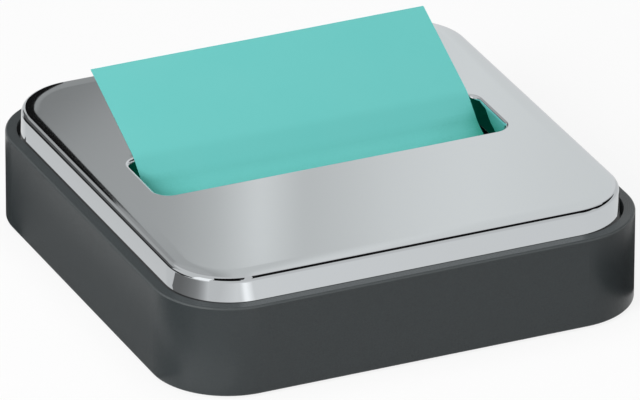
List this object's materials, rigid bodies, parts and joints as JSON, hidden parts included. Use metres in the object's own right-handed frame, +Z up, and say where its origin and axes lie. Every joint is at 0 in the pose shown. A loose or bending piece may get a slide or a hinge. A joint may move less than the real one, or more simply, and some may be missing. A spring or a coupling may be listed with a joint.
{
  "type": "sticky note dispenser",
  "caption": "Low square desk dispenser with a charcoal base, a lift-off steel-topped lid with a long slot, and a teal note standing out of the slot.",
  "frame": {"origin": "middle of the plane under the four feet", "axes": "+Z up, +X along the slot, -Y towards the user, so the note leans back towards +Y"},
  "size_m": [0.107, 0.107, 0.0368],
  "materials": {
    "base_plastic": "fine satin charcoal moulding",
    "cover_plastic": "matt black moulding",
    "ballast_steel": "plain stamped steel",
    "screw_steel": "bright zinc plate",
    "foot_rubber": "matt black rubber",
    "lid_steel": "satin top with polished edges",
    "frame_plastic": "matt black moulding",
    "note_paper": "uncoated teal note paper",
    "card_board": "grey-brown board"
  },
  "bodies": {
    "root": {"base_shell": "base_plastic", "bottom_cover": "cover_plastic", "ballast_plate": "ballast_steel", "cover_screw_1": "screw_steel", "cover_screw_2": "screw_steel", "cover_screw_3": "screw_steel", "cover_screw_4": "screw_steel", "foot_1": "foot_rubber", "foot_2": "foot_rubber", "foot_3": "foot_rubber", "foot_4": "foot_rubber", "lid_cover": "lid_steel", "lid_frame": "frame_plastic", "note_pad": "note_paper", "backing_card": "card_board", "popup_note": "note_paper"}
  },
  "joints": []
}
